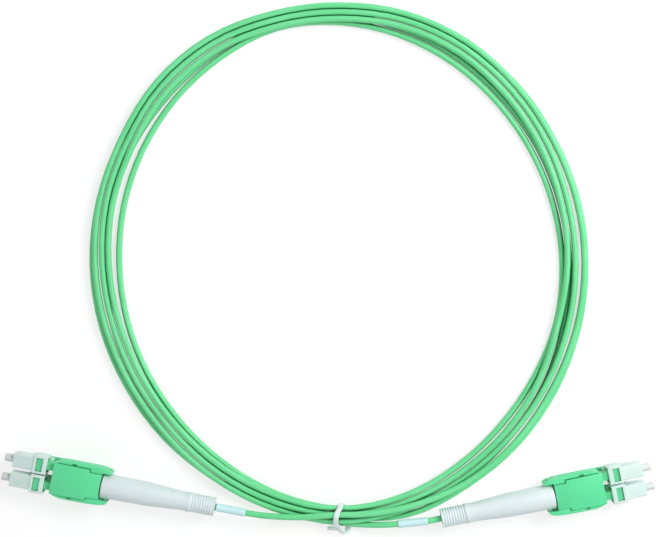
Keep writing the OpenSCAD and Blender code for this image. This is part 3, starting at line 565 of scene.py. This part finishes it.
green_look = Look(
    "connector_green", roughness=0.4, specular_ior_level=0.45,
    subsurface_weight=0.06, subsurface_scale=0.001,
)
haze = green_look.noise(120.0, 3.0)
spark = green_look.noise(6000.0)
# Painted highlight: the rounded edges are painted a paler green, as if they catch the light.
edge = green_look.field("ShaderNodeAttribute", {"attribute_name": "painted_edge_highlight"}, out="Fac")
highlit_moulding = green_look.blend(
    0.6 * edge, green_look.blend(haze, srgb(88, 222, 154), srgb(102, 234, 168)), srgb(176, 250, 214),
)
green_look.feed(
    Base_Color=green_look.shade_gaps(0.9 * mm, srgb(12, 104, 60), highlit_moulding),
    Roughness=0.36 + 0.14 * spark,
    Normal=green_look.bump(spark, 0.00002, 0.5),
)
neck_look = Look("extender_green", roughness=0.45, specular_ior_level=0.4)
haze = neck_look.noise(300.0, 3.0)
green = neck_look.blend(haze, srgb(86, 202, 144), srgb(106, 224, 165))
neck_look.feed(
    Base_Color=neck_look.shade_gaps(0.9 * mm, srgb(10, 84, 50), green),
    Roughness=0.4 + 0.14 * haze,
    Normal=neck_look.bump(haze, 0.00003, 0.5),
)
tab_top = axis_h + 2.05 * mm
shell_edge, neck_edge = 0.12 * mm, 0.06 * mm
for side in seats:
    for shell in ("housing_top", "housing_base"):
        node = f"{side}_{shell}"
        keep(rounded(node, shell_edge), node + "_shell", green_look, "cord", "connector_green", node)
    for port in ports:
        node = f"{side}_extender_{port}"
        neck = rounded(node, neck_edge)
        for vert in neck.vertices:
            vert.co.z = min(vert.co.z, tab_top)
        keep(neck, node + "_neck", neck_look, "cord", "connector_green", node)

# ---- trigger clips ----
# A green clip wraps the housing's underside and sides. Pulling it back presses the
# latches.

clip_edge = 0.1 * mm
for side in seats:
    node = side + "_trigger_clip"
    keep(rounded(node, clip_edge), node + "_wrap", green_look, side + "_grip", "connector_green", node)

# ---- front housings, latches and dust caps ----
# Slightly translucent white mouldings that enter the adapter. Each has a snap window
# on top for the extender's tab, and a springy latch underneath. A frosted tube, closed
# at its front, is pushed over each ferrule.

white_look = Look("connector_white", roughness=0.38, subsurface_weight=0.25, subsurface_scale=0.0015)
haze = white_look.noise(220.0, 3.0)
spark = white_look.noise(5000.0)
# Painted highlight: the rounded edges are painted near white, as if they catch the light.
edge = white_look.field("ShaderNodeAttribute", {"attribute_name": "painted_edge_highlight"}, out="Fac")
highlit_moulding = white_look.blend(
    0.8 * edge, white_look.blend(haze, srgb(213, 236, 230), srgb(225, 245, 239)), srgb(250, 253, 252),
)
white_look.feed(
    Base_Color=white_look.shade_gaps(0.5 * mm, srgb(124, 150, 142), highlit_moulding),
    Roughness=0.34 + 0.12 * spark,
    Normal=white_look.bump(spark, 0.00002, 0.5),
)
cap_look = Look("dust_cap_plastic", roughness=0.45, subsurface_weight=0.3, subsurface_scale=0.0015)
haze = cap_look.noise(500.0, 3.0)
cap_look.feed(
    Base_Color=cap_look.blend(haze, srgb(210, 218, 216), srgb(226, 232, 230)),
    Roughness=0.4 + 0.15 * haze,
    Normal=cap_look.bump(haze, 0.00003, 0.5),
)
cap_back, cap_front, cap_end = 26.3, 31.7, 1.1
cap_r, cap_bore = 1.25, 0.675
cap_outline = [
    (cap_back, cap_bore), (cap_back, cap_r - 0.08), (cap_back + 0.08, cap_r), (cap_front - 0.25, cap_r),
    (cap_front - 0.1, cap_r - 0.05), (cap_front, cap_r - 0.2), (cap_front, 0),
    (cap_front - cap_end, 0), (cap_front - cap_end, cap_bore),
]
nose_edge, latch_edge = 0.1 * mm, 0.08 * mm
for side, seat in seats.items():
    for port, y in ports.items():
        node = f"{side}_front_housing_{port}"
        keep(rounded(node, nose_edge), node + "_shell", white_look, "cord", "connector_white", node)
        node = f"{side}_latch_{port}"
        keep(rounded(node, latch_edge), node + "_arm", white_look, node, "connector_white", node)
        node = f"{side}_dust_cap_{port}"
        mesh = turned(node + "_tube", cap_outline, seat @ Matrix.Translation((0, y, 0)), 32)
        keep(mesh, node + "_tube", cap_look, node, "dust_cap", node)

# ---- ferrules, crimps, springs and fibres ----
# The ceramic ferrules sit in turned steel flanges with springs behind them, and the
# crimp body and ring hold the cable's yarn. These keep their own turned shapes.

ceramic = Look("ceramic", roughness=0.18)
milk = ceramic.noise(700.0)
ceramic.feed(
    Base_Color=ceramic.blend(milk, srgb(238, 238, 230), srgb(248, 248, 242)),
    Roughness=0.15 + 0.1 * milk,
)
steel = Look("plated_steel", metallic=1.0)
lines = steel.noise(2400.0, 3.0)
steel.feed(
    Base_Color=steel.blend(lines, srgb(178, 180, 184), srgb(204, 206, 209)),
    Roughness=0.24 + 0.2 * lines,
    Normal=steel.bump(lines, 0.00002, 0.5),
)
buffer_look = Look("fibre_buffer")
milk = buffer_look.noise(900.0)
buffer_look.feed(
    Base_Color=buffer_look.blend(milk, srgb(238, 232, 214), srgb(248, 244, 228)),
    Roughness=0.45 + 0.1 * milk,
)
inner = {"ferrule": ceramic, "flange": steel, "spring": steel, "fibre": buffer_look}
for side in seats:
    for kind in ("crimp_body", "crimp_ring"):
        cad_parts[f"{side}_{kind}"].material_slots[0].material = steel.material
    for kind, look in inner.items():
        for port in ports:
            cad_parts[f"{side}_{kind}_{port}"].material_slots[0].material = look.material
